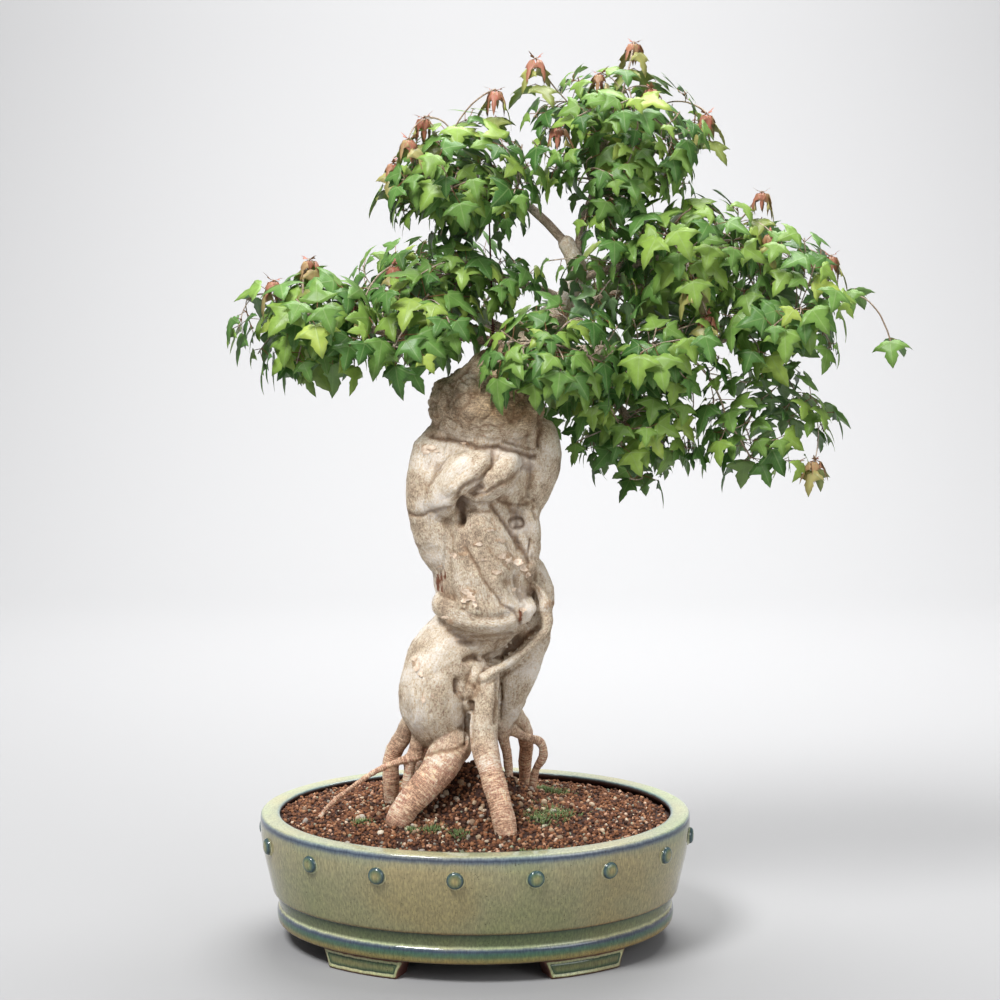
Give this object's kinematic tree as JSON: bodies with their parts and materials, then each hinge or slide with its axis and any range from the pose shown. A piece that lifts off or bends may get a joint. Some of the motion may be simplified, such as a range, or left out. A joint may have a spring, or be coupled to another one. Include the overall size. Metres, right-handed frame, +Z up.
{
  "type": "trident maple bonsai",
  "caption": "Trident maple bonsai with a thick knotted trunk on raised roots, a spreading crown of three-lobed leaves and an oval glazed pot on bracket feet.",
  "frame": {"origin": "middle of the whole object's box, on the surface that the pot's feet stand on", "axes": "+Z up along the trunk, -Y towards the front of the tree, +X to the viewer's right"},
  "size_m": [0.7152, 0.3873, 0.9586],
  "materials": {
    "celadon_glaze": "glossy reduction-fired olive green glaze on brown stoneware, pooled blue in its grooves",
    "black_mesh_plastic": "moulded matte",
    "bonsai_soil": "loose fired clay and pumice grains",
    "maple_bark": "pale flaking bark",
    "maple_leaf": "thin satin leaf",
    "oxidised_wire": "dark red-brown, weathered"
  },
  "bodies": {
    "root": {"pot": "celadon_glaze", "drainage_mesh_left": "black_mesh_plastic", "drainage_mesh_right": "black_mesh_plastic", "soil": "bonsai_soil", "trunk": "maple_bark", "branch_left_low": "maple_leaf", "branch_left_mid": "maple_leaf", "branch_upper_left": "maple_leaf", "branch_apex": "maple_leaf", "branch_right_upper": "maple_leaf", "branch_right": "maple_leaf", "branch_hanging": "maple_leaf", "branch_front": "maple_leaf", "branch_back_left": "maple_leaf", "branch_back_right": "maple_leaf", "branch_back": "maple_leaf", "guy_wire": "oxidised_wire"}
  },
  "joints": []
}
